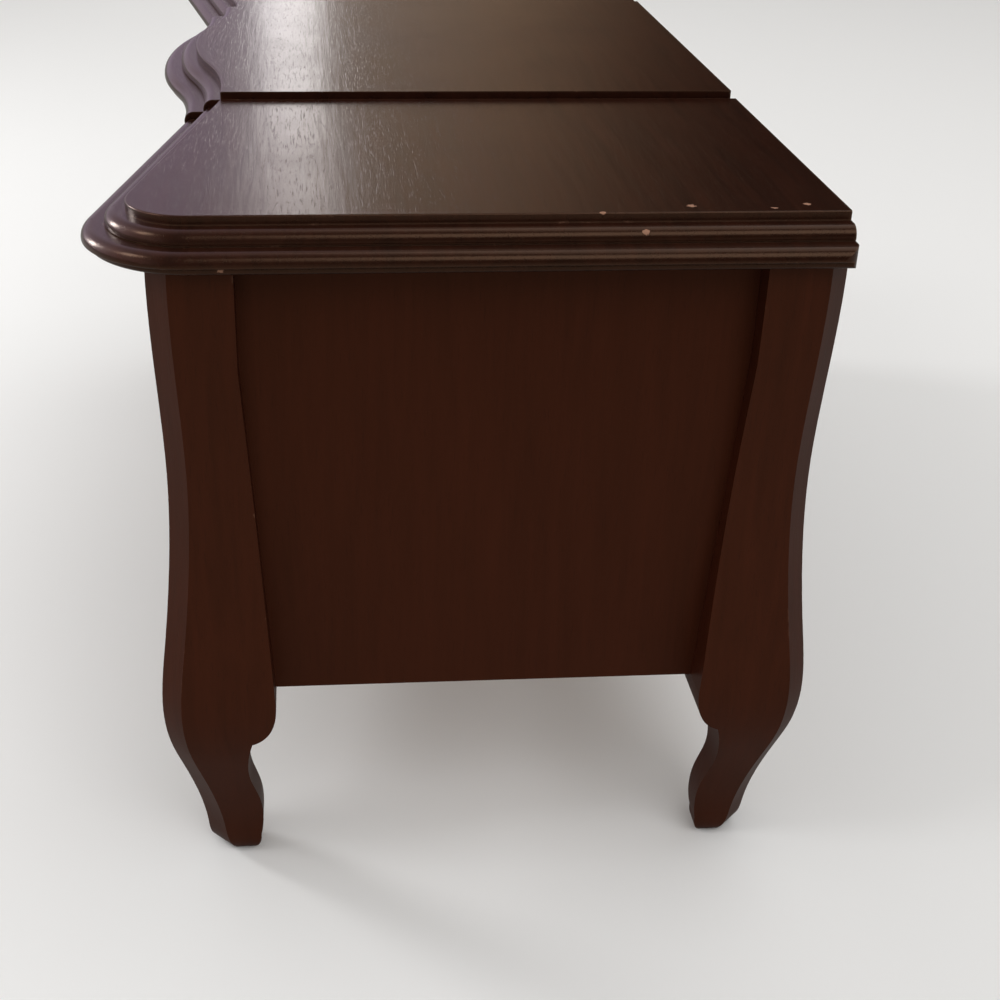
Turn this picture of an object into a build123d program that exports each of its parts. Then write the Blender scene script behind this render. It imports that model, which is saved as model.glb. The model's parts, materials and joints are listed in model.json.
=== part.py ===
from build123d import *
import math
import os

os.makedirs("parts", exist_ok=True)

# A table-top vanity box on four cabriole legs. Its top is in three sections: two fixed ends and
# a bowed centre lid with a mirror under it. Under the lid is a lined compartment, and below and
# beside it are three rows of drawers.
# Millimetres. +X is the right-hand end, -Y the front, +Z up. The origin is the middle of the
# footprint, on the surface that the box stands on.

# ---------------------------------------------------------------- driving dimensions

# Plan of the top: its flat, without the moulded edge.
lid_length = 152.4        # centre section, from seam to seam
end_length = 115.6        # each end section, from the seam to the edge of the flat
seam_depth = 157.4        # from the back to the front edge of the flat, at the seams
end_flare = 10.9          # degrees by which the ends' front edges turn outwards
corner_radius = 16.0      # rounding of the flat's front corners
bow_rise = 11.3           # how far the lid's front bows out beyond the seams
bow_half_width = 71.0     # from the middle of the lid to where the bow begins
seam_gap = 1.5

# Moulded edge, from the top down: a riser, two rounded noses like a stair, and a thin lip.
riser_height = 2.4
riser_round = 0.5
nose_reaches = [5.3, 11.2]  # how far each nose stands out beyond the flat
nose_height = 3.6
nose_under_round = 0.4
nose_upright = 0.3        # what is left upright between a nose's two rounded rims
lip_reach = 10.2
lip_height = 1.9
lip_round = 0.5
lip_under_round = 1.1
lip_corner_radius = 27.5
back_corner_radius = 4.0  # the moulding's back outer corner, seen from above

# Heights.
casing_top = 184.0        # underside of the end sections
casing_bottom = 59.0      # lower edge of the end panels
lid_lift = 2.0            # the lid sits on bumpers, so it stands proud of the ends

# Corner posts, which run down into the legs.
end_proud = 4.4           # the posts' end faces stand outside the edge of the flat
front_setback = 9.0       # the casing's front lies behind the edge of the flat
post_width = 20.5
post_advance = 12.8       # how far the front posts stand in front of the seams
back_proud = 1.3          # the back posts and the top's ends stand out behind the back panel
post_chamfer = 5.5

# Boards.
end_panel_thickness = 6.0
end_panel_reveal = 0.8    # behind the posts' faces, where those are at their hollowest
back_panel_thickness = 6.0
partition_thickness = 6.0
divider_thickness = 4.0
bottom_thickness = 4.0
apron_height = 8.0
apron_thickness = 10.0
front_thickness = 10.0    # drawer fronts, and the compartment's fixed front
front_reveal = 0.8        # rails and partitions end a little behind the drawer fronts

# Drawers.
row_names = ["bottom", "middle", "top"]
drawer_gap = 0.4
drawer_wall = 3.0
drawer_floor = 2.5
drawer_side_height = 24.0
drawer_back_gap = 3.0
front_edge_round = 0.8
front_facing = 0.5        # a face of a drawer front is its outer one if it looks at least so far forward

# Knobs.
knob_head_diameter = 11.0
knob_head_height = 5.5
knob_crown_round = 3.3
knob_under_round = 1.6
knob_neck_diameter = 5.0
knob_neck_height = 5.0
knob_plate_diameter = 10.0
knob_plate_height = 1.4
knob_plate_round = 0.7
knob_peg_diameter = 3.0
knob_peg_length = 6.0

# Mirror under the lid.
mirror_thickness = 3.0
mirror_frame_width = 9.0
mirror_frame_height = 3.6
mirror_lap = 3.0          # how far the frame laps over the glass
mirror_play = 0.2
frame_margin = 2.5        # between the frame and the compartment's lining
frame_round = 1.6

# Hinges.
hinge_spacing = 90.0
hinge_length = 24.0
hinge_leaf_height = 9.5
hinge_leaf_thickness = 1.0
knuckle_diameter = 4.0
knuckle_clearance = 0.1   # between the knuckles and the boards
knuckle_gap = 0.3         # from one knuckle to the next
knuckle_share = 0.34      # the lid's knuckle, as a share of the hinge's length
pin_diameter = 2.0
pin_play = 0.04
screw_head_diameter = 3.6
screw_head_height = 0.9
screw_shank_diameter = 1.8
screw_length = 5.0
screw_spacing = 14.0
screw_drop = 5.6          # from the pin to the screws
screw_slot_width = 0.6
screw_slot_depth = 0.35

# Bumpers that the lid rests on.
bumper_diameter = 4.0
bumper_clearance = 0.3
bumper_spacing = 124.0

# Inside the compartment.
lining_thickness = 1.5
lining_drop = 1.5         # below the compartment's rim
ring_roll_count = 6
ring_roll_diameter = 9.4
ring_roll_width = 56.0
ring_cushion_base = 12.0
inside_clearance = 0.3
inner_wall_thickness = 4.0
inner_wall_height = 22.0

# Leg outline. Each point is a distance from the post's face, and a height. The outer edge's
# distances run outwards from that face, and all the others run inwards from it.
post_flare_height = 157.0  # below this the post widens towards the knee, seen from the end
leg_outer_edge = [(0.9, casing_top), (0.4, post_flare_height), (-0.7, 125.0), (0.4, 99.0),
                  (2.8, 76.0), (4.5, 57.0), (3.2, 44.0), (0.2, 33.0), (-3.2, 20.0), (-5.0, 9.0)]
foot_toe = (10.0, 0.0)
foot_heel = (15.0, 0.0)
leg_inner_low = [(20.8, 7.0), (21.6, 14.0), (20.8, 23.0), (18.6, 31.0), (18.4, 39.0), (19.8, 46.0)]
leg_inner_knee_end = [(19.8, 46.0), (24.4, 49.5), (26.4, 54.5), (26.8, casing_bottom)]
leg_inner_knee_front = [(19.8, 46.0), (22.6, 47.4), (23.8, 50.0), (22.8, 53.6), (post_width, 56.5)]
# The inner corner is planed off too, below the casing. These run from the outer corner, along the
# diagonal of the leg.
heel_corner = (19.0, 0.0)
leg_inner_corner = [(23.2, 7.0), (24.2, 14.0), (22.6, 24.0), (20.6, 34.0), (24.2, 43.0), (29.4, 50.0),
                    (31.0, 57.0)]

# ---------------------------------------------------------------- worked out from them

row_count = len(row_names)
flat_half_length = lid_length / 2 + end_length
nose_reach = max(nose_reaches)
nose_round = nose_height - nose_upright - nose_under_round
board_thickness = riser_height + len(nose_reaches) * nose_height + lip_height
post_front_depth = seam_depth + post_advance
flare_slope = math.tan(math.radians(end_flare))
flare_cosine = math.cos(math.radians(end_flare))
bow_turn = 2 * math.degrees(math.atan(bow_rise / bow_half_width))
bow_radius = bow_half_width / 2 / math.sin(math.radians(bow_turn))
knee_reach = max(stand_out for stand_out, height in leg_outer_edge)


def front_line(x):
    """Depth of the end section's front edge, from the back, at x."""
    return seam_depth + flare_slope * (x - lid_length / 2)


corner_x = flat_half_length - corner_radius
corner_depth = front_line(corner_x) - corner_radius / flare_cosine
front_reach = corner_depth + corner_radius + nose_reach
back_y = (front_reach - knee_reach - back_proud) / 2

lid_bottom = casing_top + lid_lift
post_face_x = flat_half_length + end_proud
bay_end_x = post_face_x - post_width
post_hollow = -min(stand_out for stand_out, height in leg_outer_edge)
panel_outer_x = post_face_x - post_hollow - end_panel_reveal
panel_inner_x = panel_outer_x - end_panel_thickness
partition_x = lid_length / 2
lid_edge_x = (lid_length - seam_gap) / 2
partition_inner_x = partition_x - partition_thickness / 2
partition_outer_x = partition_x + partition_thickness / 2
floor_top = casing_bottom + bottom_thickness
apron_bottom = floor_top - apron_height
row_height = (casing_top - floor_top - (row_count - 1) * divider_thickness) / row_count
compartment_floor = casing_top - row_height
pin_y = back_y + knuckle_diameter / 2 + knuckle_clearance
pin_z = casing_top + lid_lift / 2
overrun = 40.0            # how far a plan runs past the planes that cut it off


def at_depth(depth):
    """The y of a point that lies this far in front of the back."""
    return back_y - depth


def front_depth(x):
    """Depth of the casing's front, from the back, at x in the end section."""
    return front_line(x) - front_setback / flare_cosine


def row_bottom(row):
    """Height of the opening's lower edge, rows counted from the bottom, from 0."""
    return floor_top + row * (row_height + divider_thickness)


def slab(x_low, x_high, depth_low, depth_high, z_low, z_high):
    """A plain board between the given planes."""
    size = (x_high - x_low, depth_high - depth_low, z_high - z_low)
    centre = ((x_high + x_low) / 2, at_depth((depth_high + depth_low) / 2), (z_high + z_low) / 2)
    return Pos(*centre) * Box(*size)


def to_left(shape):
    """The same piece at the other end of the box."""
    return mirror(shape, about=Plane.YZ)


def cylinder(radius, length, place):
    """A cylinder whose lower end is centred on the given place, along its z axis."""
    return place * Pos(0, 0, length / 2) * Cylinder(radius, length)


# ---------------------------------------------------------------- plans that follow the front

def end_plan(growth, corner=None):
    """Plan of the right-hand end section, grown outwards, or inwards when growth is negative.

    It runs past the seam and the back. With a corner, the radius of its rounded front corner, it
    ends at the outer end of the top, and without one it runs past that as well.
    """
    x_in = lid_length / 2 - overrun
    x_out = flat_half_length + (growth if corner else overrun)
    shift = growth / flare_cosine
    outline = Polyline(
        (x_in, at_depth(-overrun)),
        (x_out, at_depth(-overrun)),
        (x_out, at_depth(front_line(x_out) + shift)),
        (x_in, at_depth(front_line(x_in) + shift)),
        close=True,
    )
    plan = make_face(outline)
    if corner:
        front_corner = plan.vertices().sort_by(Axis.X)[-2:].sort_by(Axis.Y)[0]
        plan = fillet(front_corner, corner)
    return plan


def bow_plan(growth):
    """Plan of the centre section with its bowed front, grown or shrunk as end_plan is."""
    reach = lid_length / 2 + overrun
    front_y = at_depth(seam_depth + growth)
    start = (-bow_half_width, front_y)
    hollow_radius = bow_radius - growth
    crown_radius = bow_radius + growth
    out_arc = JernArc(start=start, tangent=(1, 0), radius=hollow_radius, arc_size=-bow_turn)
    crown = JernArc(start=out_arc @ 1, tangent=out_arc % 1, radius=crown_radius, arc_size=2 * bow_turn)
    in_arc = JernArc(start=crown @ 1, tangent=crown % 1, radius=hollow_radius, arc_size=-bow_turn)
    rest = Polyline(
        in_arc @ 1,
        (reach, front_y),
        (reach, at_depth(-overrun)),
        (-reach, at_depth(-overrun)),
        (-reach, front_y),
        start,
    )
    return make_face([out_arc, crown, in_arc, rest])


def behind_front(plan, inset, z_low, z_high):
    """Everything that lies behind the casing's front by inset or more, between two heights."""
    face = plan(-front_setback - inset)
    return Pos(0, 0, z_low) * extrude(face, z_high - z_low)


def front_strip(plan, inset, thickness, x_low, x_high, z_low, z_high):
    """A board that follows the casing's front: a drawer front, a rail or an apron."""
    strip = behind_front(plan, inset, z_low, z_high)
    strip -= behind_front(plan, inset + thickness, z_low, z_high)
    return strip & slab(x_low, x_high, -overrun, front_reach, z_low, z_high)


# ---------------------------------------------------------------- moulded tops

def rounded_layer(plan, height, upper_round, under_round):
    """One layer of a moulded board, with its upper and lower rims rounded."""
    layer = extrude(plan, height)
    layer = fillet(layer.faces().sort_by(Axis.Z)[-1].edges(), upper_round)
    return fillet(layer.faces().sort_by(Axis.Z)[0].edges(), under_round)


def moulded_board(plan, lip_plan, z_low):
    """A section of the top before it is sawn off square: lip, noses and riser, from below."""
    board = Pos(0, 0, z_low) * extrude(plan(0), board_thickness)
    board = fillet(board.faces().sort_by(Axis.Z)[-1].edges(), riser_round)
    board += Pos(0, 0, z_low) * rounded_layer(lip_plan, lip_height, lip_round, lip_under_round)
    layer_low = z_low + lip_height
    for reach in reversed(nose_reaches):
        nose = rounded_layer(plan(reach), nose_height, nose_round, nose_under_round)
        board += Pos(0, 0, layer_low) * nose
        layer_low += nose_height
    return board


def rounded_end_plan(growth):
    """Plan of the end section of the top, with its rounded front corner."""
    return end_plan(growth, corner_radius + growth)


def make_end_top():
    """The right-hand fixed section of the top."""
    board = moulded_board(rounded_end_plan, end_plan(lip_reach, lip_corner_radius), casing_top)
    space = slab(lid_edge_x + seam_gap, flat_half_length + nose_reach,
                 -back_proud, front_reach, casing_top, casing_top + board_thickness)
    outer_corners = space.edges().filter_by(Axis.Z).sort_by(Axis.X)[-2:]
    back_corner = outer_corners.sort_by(Axis.Y)[-1]
    return board & fillet(back_corner, back_corner_radius)


def make_lid_board():
    """The lid before anything is let into it."""
    board = moulded_board(bow_plan, bow_plan(lip_reach), lid_bottom)
    return board & slab(-lid_edge_x, lid_edge_x, 0, front_reach, lid_bottom, lid_bottom + board_thickness)


# ---------------------------------------------------------------- legs

def leg_outline(inner_knee, upper_inner):
    """Closed outline of a leg and its post: x runs inwards from the post's face, y is height."""
    outer = Spline(*[(-stand_out, height) for stand_out, height in leg_outer_edge])
    toe = Spline(outer @ 1, foot_toe, tangents=[outer % 1, (1, 0)])
    sole = Line(toe @ 1, foot_heel)
    heel = Spline(foot_heel, leg_inner_low[0], tangents=[(1, 0), (0, 1)])
    shank = Spline(*leg_inner_low)
    knee = Spline(*inner_knee)
    upper = Polyline(knee @ 1, *upper_inner, outer @ 0)
    return make_face([outer, toe, sole, heel, shank, knee, upper])


def make_leg():
    """The right-hand front leg, with its post's outer faces on the planes x = 0 and y = 0."""
    block = post_width * 2
    post_top = [(post_width, casing_top)]
    end_view = leg_outline(leg_inner_knee_end, [(post_width, post_flare_height)] + post_top)
    front_view = leg_outline(leg_inner_knee_front, post_top)
    # Seen from the end the outlines run to the back, and seen from the front they run to the left.
    end_plane = Plane(origin=(0, 0, 0), x_dir=(0, 1, 0), z_dir=(1, 0, 0))
    front_plane = Plane(origin=(0, 0, 0), x_dir=(-1, 0, 0), z_dir=(0, 1, 0))
    end_prism = extrude(end_plane * end_view, block, both=True)
    front_prism = extrude(front_plane * front_view, block, both=True)
    return end_prism & front_prism & corner_prism(block)


def corner_prism(block):
    """What is left when the leg's outer and inner corners are planed off along its curves."""
    diagonal = math.sqrt(2)
    outer = Spline(*[(post_chamfer / diagonal - diagonal * stand_out, height)
                     for stand_out, height in leg_outer_edge])
    foot_x = post_chamfer / diagonal + diagonal * foot_toe[0]
    toe = Spline(outer @ 1, (foot_x, 0), tangents=[outer % 1, (1, 0)])
    sole = Line(toe @ 1, heel_corner)
    heel = Spline(heel_corner, leg_inner_corner[0], tangents=[(1, 0), (0, 1)])
    inner = Spline(*leg_inner_corner)
    rest = Polyline(inner @ 1, (block * 2, leg_inner_corner[-1][1]), (block * 2, casing_top), outer @ 0)
    face = make_face([outer, toe, sole, heel, inner, rest])
    plane = Plane(origin=(0, 0, 0), x_dir=(-1, 1, 0), z_dir=(1, 1, 0))
    return extrude(plane * face, block * 2, both=True)


# ---------------------------------------------------------------- casing

def front_to_back(plan, x_low, x_high, z_low, z_high):
    """A board that fills the casing from its front to its back panel."""
    depths = slab(x_low, x_high, back_panel_thickness, front_reach, z_low, z_high)
    return behind_front(plan, front_reveal, z_low, z_high) & depths


def without_legs(board):
    """The board, cut to fit round the right-hand end's two legs, with nothing left outside them."""
    middle_of_post = post_front_depth - post_width / 2
    corner = slab(bay_end_x, post_face_x, middle_of_post, front_reach, 0, casing_top)
    return board - right_front_leg - right_back_leg - corner


def make_end_panel():
    """The right-hand end panel, let in between the posts."""
    board = slab(panel_inner_x, panel_outer_x,
                 post_width / 2, post_front_depth - post_width / 2, casing_bottom, casing_top)
    return without_legs(board)


def make_back_panel():
    """The back, between the two back posts, with holes for the hinges' screws."""
    board = slab(-bay_end_x, bay_end_x, 0, back_panel_thickness, casing_bottom, casing_top)
    return board - fixed_screws


def apron_strip(plan, x_low, x_high):
    """A stretch of the rail under the drawers."""
    return front_strip(plan, front_reveal, apron_thickness, x_low, x_high, apron_bottom, floor_top)


def make_apron():
    """The rail under the drawers, from post to post along the whole front."""
    end = without_legs(apron_strip(end_plan, partition_x, panel_inner_x))
    return apron_strip(bow_plan, -partition_x, partition_x) + end + to_left(end)


def make_bottom_board():
    """The casing's floor, behind the apron and notched round all four legs."""
    centre = front_to_back(bow_plan, -partition_x, partition_x, casing_bottom, floor_top)
    end = without_legs(front_to_back(end_plan, partition_x, panel_inner_x, casing_bottom, floor_top))
    return centre + end + to_left(end) - apron


def make_partition():
    """The upright between the centre and the right-hand drawers."""
    return front_to_back(bow_plan, partition_inner_x, partition_outer_x, floor_top, casing_top)


def make_end_divider(row):
    """The board above a right-hand drawer."""
    z_low = row_bottom(row) + row_height
    return without_legs(front_to_back(end_plan, partition_outer_x, panel_inner_x,
                                      z_low, z_low + divider_thickness))


def make_centre_divider(row):
    """The board above a centre drawer."""
    z_low = row_bottom(row) + row_height
    return front_to_back(bow_plan, -partition_inner_x, partition_inner_x,
                         z_low, z_low + divider_thickness)


# ---------------------------------------------------------------- drawers

def eased_front(strip):
    """A strip with the edges round its outer surface rounded over."""
    outer_faces = [face for face in strip.faces() if face.normal_at().Y < -front_facing]
    edges = [edge for face in outer_faces for edge in face.edges()]
    rim = [edge for edge in edges if sum(edge.is_same(other) for other in edges) == 1]
    return strip.fillet(front_edge_round, rim)


def make_drawer_front(plan, x_low, x_high, row):
    """The front of a drawer, in its opening with a gap all round."""
    z_low = row_bottom(row) + drawer_gap
    z_high = row_bottom(row) + row_height - drawer_gap
    return eased_front(front_strip(plan, 0, front_thickness, x_low + drawer_gap, x_high - drawer_gap,
                                   z_low, z_high))


def make_drawer_box(plan, x_low, x_high, row):
    """The open box behind a drawer's front."""
    z_low = row_bottom(row) + drawer_gap
    z_high = z_low + drawer_side_height
    back = back_panel_thickness + drawer_back_gap
    outside = behind_front(plan, front_thickness, z_low, z_high)
    outside &= slab(x_low + drawer_gap, x_high - drawer_gap, back, front_reach, z_low, z_high)
    inside = behind_front(plan, front_thickness + drawer_wall, z_low + drawer_floor, z_high)
    inside &= slab(x_low + drawer_gap + drawer_wall, x_high - drawer_gap - drawer_wall,
                   back + drawer_wall, front_reach, z_low + drawer_floor, z_high)
    return outside - inside


def turned_knob():
    """A knob on the z axis: the front's surface is at z = 0, and the peg goes into it below."""
    plate = cylinder(knob_plate_diameter / 2, knob_plate_height, Pos(0, 0, 0))
    plate = fillet(plate.edges().sort_by(Axis.Z)[-1], knob_plate_round)
    neck = cylinder(knob_neck_diameter / 2, knob_neck_height + knob_head_height / 2, Pos(0, 0, 0))
    head = cylinder(knob_head_diameter / 2, knob_head_height, Pos(0, 0, knob_neck_height))
    head = fillet(head.edges().sort_by(Axis.Z)[-1], knob_crown_round)
    head = fillet(head.edges().sort_by(Axis.Z)[0], knob_under_round)
    peg = cylinder(knob_peg_diameter / 2, knob_peg_length, Pos(0, 0, -knob_peg_length))
    return plate + neck + head + peg


def knob_place(x, depth, turn, row):
    """Where a knob sits on a drawer's front, and how far it is turned about the vertical."""
    z = row_bottom(row) + row_height / 2
    return Pos(x, at_depth(depth), z) * Rot(0, 0, turn) * Rot(90, 0, 0)


def end_knobs(row):
    """The knob in the middle of a right-hand drawer's front."""
    x = (partition_outer_x + bay_end_x) / 2
    return [knob_place(x, front_depth(x), -end_flare, row) * turned_knob()]


def centre_knobs(row):
    """The two knobs of a centre drawer, where its front's curve turns from hollow to round."""
    turn = math.radians(bow_turn)
    x = bow_half_width / 2 - front_setback * math.sin(turn)
    depth = seam_depth + bow_rise / 2 - front_setback * math.cos(turn)
    right_knob = knob_place(x, depth, bow_turn, row) * turned_knob()
    return [right_knob, to_left(right_knob)]


def add_drawer(name, plan, x_low, x_high, row, knobs):
    """The three nodes of one drawer, with each knob's peg let into the front."""
    front = make_drawer_front(plan, x_low, x_high, row)
    for knob in knobs:
        front -= knob
    nodes[name + "_front"] = front
    nodes[name + "_box"] = make_drawer_box(plan, x_low, x_high, row)
    nodes[name + "_knob"] = group(knobs)


def group(solids):
    """Separate solids that share a node."""
    return Compound(children=list(solids)) if len(solids) > 1 else solids[0]


# ---------------------------------------------------------------- compartment under the lid

def make_compartment_front():
    """The compartment's fixed front, made to match a drawer's."""
    return eased_front(front_strip(bow_plan, 0, front_thickness, -partition_inner_x, partition_inner_x,
                                   compartment_floor, casing_top))


def compartment_space(margin, z_low, z_high):
    """The inside of the compartment, kept off its walls by a margin."""
    x_reach = partition_inner_x - margin
    space = behind_front(bow_plan, front_thickness + margin, z_low, z_high)
    return space & slab(-x_reach, x_reach, back_panel_thickness + margin, front_reach, z_low, z_high)


lining_floor = compartment_floor + lining_thickness
lined_x = partition_inner_x - lining_thickness
lined_back = back_panel_thickness + lining_thickness
cushion_depth = ring_roll_count * ring_roll_diameter
inner_wall_back = lined_back + cushion_depth + 2 * inside_clearance


def make_compartment_lining():
    """The compartment's lining: a floor and walls, open at the top."""
    rim = casing_top - lining_drop
    outside = compartment_space(0, compartment_floor, rim)
    return outside - compartment_space(lining_thickness, lining_floor, rim)


def make_ring_cushion():
    """A row of rolls, side by side, that hold rings between them."""
    x_low = inside_clearance - lined_x
    back = lined_back + inside_clearance
    roll_radius = ring_roll_diameter / 2
    base_top = lining_floor + ring_cushion_base
    cushion = slab(x_low, x_low + ring_roll_width, back, back + cushion_depth, lining_floor, base_top)
    for roll in range(ring_roll_count):
        middle = at_depth(back + (roll + 0.5) * ring_roll_diameter)
        cushion += cylinder(roll_radius, ring_roll_width, Pos(x_low, middle, base_top) * Rot(0, 90, 0))
    return cushion


def make_inner_wall():
    """The wall that divides the compartment into a back part and a front part."""
    return slab(-lined_x, lined_x, inner_wall_back, inner_wall_back + inner_wall_thickness,
                lining_floor, lining_floor + inner_wall_height)


# ---------------------------------------------------------------- lid, mirror and hinges

frame_x = lined_x - frame_margin
frame_back = lined_back + frame_margin
frame_front = seam_depth - front_setback - front_thickness - lining_thickness - frame_margin
glass_inset = mirror_frame_width - mirror_lap


def mirror_board(inset, z_low, z_high):
    """A board under the lid, inset from the outer edge of the mirror's frame."""
    x_reach = frame_x - inset
    return slab(-x_reach, x_reach, frame_back + inset, frame_front - inset, z_low, z_high)


def make_mirror():
    """The glass, let into the underside of the lid."""
    return mirror_board(glass_inset + mirror_play, lid_bottom, lid_bottom + mirror_thickness)


def make_mirror_frame():
    """The frame that holds the glass in its recess, with its lower edges rounded."""
    frame_low = lid_bottom - mirror_frame_height
    frame = mirror_board(0, frame_low, lid_bottom)
    frame -= mirror_board(mirror_frame_width, frame_low, lid_bottom)
    return fillet(frame.faces().sort_by(Axis.Z)[0].edges(), frame_round)


def make_lid():
    """The lid, with the recess for the glass and the holes for the hinges' screws."""
    recess = mirror_board(glass_inset, lid_bottom, lid_bottom + mirror_thickness)
    return make_lid_board() - recess - lid_screws


def screw(x, z):
    """A countersunk screw driven in from behind, flush with the hinge leaf's outer face."""
    face_y = back_y + hinge_leaf_thickness
    head = Cone(screw_shank_diameter / 2, screw_head_diameter / 2, screw_head_height)
    body = Pos(0, 0, -screw_head_height / 2) * head
    body += cylinder(screw_shank_diameter / 2, screw_length, Pos(0, 0, -screw_length))
    slot = Box(screw_head_diameter, screw_slot_width, screw_slot_depth)
    body -= Pos(0, 0, -screw_slot_depth / 2) * slot
    return Pos(x, face_y, z) * Rot(-90, 0, 0) * body


def hinge_centres():
    """The x of each hinge's middle."""
    return [-hinge_spacing / 2, hinge_spacing / 2]


def make_screws(z):
    """The screws of both hinges along one leaf's row of holes."""
    places = [middle + side * screw_spacing / 2 for middle in hinge_centres() for side in (-1, 1)]
    return group([screw(x, z) for x in places])


def on_hinge_axis(radius, x_low, x_high):
    """A round bar on the hinges' axis."""
    return cylinder(radius, x_high - x_low, Pos(x_low, pin_y, pin_z) * Rot(0, 90, 0))


def make_leaf(middle, up, knuckle_spans, screws):
    """One leaf of a hinge: a plate against the board, with its knuckles, bored for the pin."""
    x_low = middle - hinge_length / 2
    x_high = middle + hinge_length / 2
    z_far = pin_z + up * hinge_leaf_height
    plate = slab(x_low, x_high, -hinge_leaf_thickness, 0, min(pin_z, z_far), max(pin_z, z_far))
    leaf = plate - on_hinge_axis(knuckle_diameter / 2 + knuckle_gap, x_low, x_high)
    for span_low, span_high in knuckle_spans:
        arm = plate & slab(span_low, span_high, -hinge_leaf_thickness, 0,
                           pin_z - knuckle_diameter, pin_z + knuckle_diameter)
        leaf += on_hinge_axis(knuckle_diameter / 2, span_low, span_high) + arm
    bore = on_hinge_axis(pin_diameter / 2 + pin_play, x_low, x_high)
    return leaf - bore - screws


def make_fixed_leaf(middle):
    """The leaf on the back panel, with a knuckle at each end."""
    half = hinge_length / 2
    inner = knuckle_share * hinge_length / 2 + knuckle_gap / 2
    spans = [(middle - half, middle - inner), (middle + inner, middle + half)]
    return make_leaf(middle, -1, spans, fixed_screws)


def make_lid_leaf(middle):
    """The leaf on the lid's back edge, with its one knuckle in the middle."""
    inner = knuckle_share * hinge_length / 2 - knuckle_gap / 2
    return make_leaf(middle, 1, [(middle - inner, middle + inner)], lid_screws)


def make_pin(middle):
    """A hinge's pin."""
    return on_hinge_axis(pin_diameter / 2, middle - hinge_length / 2, middle + hinge_length / 2)


def make_bumpers():
    """The four pads between the casing and the lid, two on its front and two on its back panel."""
    height = lid_lift - bumper_clearance
    front = seam_depth - front_setback - front_thickness / 2
    pads = []
    for depth in (back_panel_thickness / 2, front):
        for x in (-bumper_spacing / 2, bumper_spacing / 2):
            place = Pos(x, at_depth(depth), casing_top)
            pads.append(cylinder(bumper_diameter / 2, height, place))
    return group(pads)


# ---------------------------------------------------------------- all the pieces

nodes = {}

corner_leg = make_leg()
right_front_leg = Pos(post_face_x, at_depth(post_front_depth), 0) * corner_leg
right_back_leg = Pos(post_face_x, at_depth(-back_proud), 0) * mirror(corner_leg, about=Plane.XZ)
fixed_screws = make_screws(pin_z - screw_drop)
lid_screws = make_screws(pin_z + screw_drop)
apron = make_apron()

right_end = {
    "front_leg": right_front_leg,
    "back_leg": right_back_leg,
    "end_panel": make_end_panel(),
    "partition": make_partition(),
    "end_top": make_end_top(),
}
for row in range(row_count - 1):
    right_end[row_names[row] + "_divider"] = make_end_divider(row)
for name, piece in right_end.items():
    nodes["right_" + name] = piece
    nodes["left_" + name] = to_left(piece)

nodes["back_panel"] = make_back_panel()
nodes["apron"] = apron
nodes["bottom_board"] = make_bottom_board()
for row in range(row_count - 1):
    nodes["centre_" + row_names[row] + "_divider"] = make_centre_divider(row)
nodes["compartment_front"] = make_compartment_front()
nodes["compartment_lining"] = make_compartment_lining()
nodes["ring_cushion"] = make_ring_cushion()
nodes["inner_wall"] = make_inner_wall()

nodes["lid"] = make_lid()
nodes["mirror"] = make_mirror()
nodes["mirror_frame"] = make_mirror_frame()
nodes["hinge_fixed_leaves"] = group([make_fixed_leaf(middle) for middle in hinge_centres()])
nodes["hinge_lid_leaves"] = group([make_lid_leaf(middle) for middle in hinge_centres()])
nodes["hinge_pins"] = group([make_pin(middle) for middle in hinge_centres()])
nodes["hinge_fixed_screws"] = fixed_screws
nodes["hinge_lid_screws"] = lid_screws
nodes["lid_bumpers"] = make_bumpers()

for row in range(row_count):
    drawer = row_names[row] + "_drawer"
    add_drawer("right_" + drawer, end_plan, partition_outer_x, bay_end_x, row, end_knobs(row))
    for piece in ("_front", "_box", "_knob"):
        nodes["left_" + drawer + piece] = to_left(nodes["right_" + drawer + piece])
for row in range(row_count - 1):
    drawer = row_names[row] + "_drawer"
    add_drawer("centre_" + drawer, bow_plan, -partition_inner_x, partition_inner_x, row,
               centre_knobs(row))

for name, shape in nodes.items():
    export_step(shape, f"parts/{name}.step")
print(len(nodes), "nodes")
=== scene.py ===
# %% [markdown]
# A table-top vanity box in dark lacquered mahogany: two fixed top sections, a bowed centre lid with
# a mirror under it, drawers below, and four cabriole legs. The hard pieces come finished from the
# CAD model. This lesson lights them, gives every one a real finish, and models the soft pieces.
#
# Everything is in metres, in the CAD model's frame: +X is the right-hand end, -Y the front, +Z up.

import json
import math

import bmesh
import bpy
from mathutils import Matrix, Vector

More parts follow.
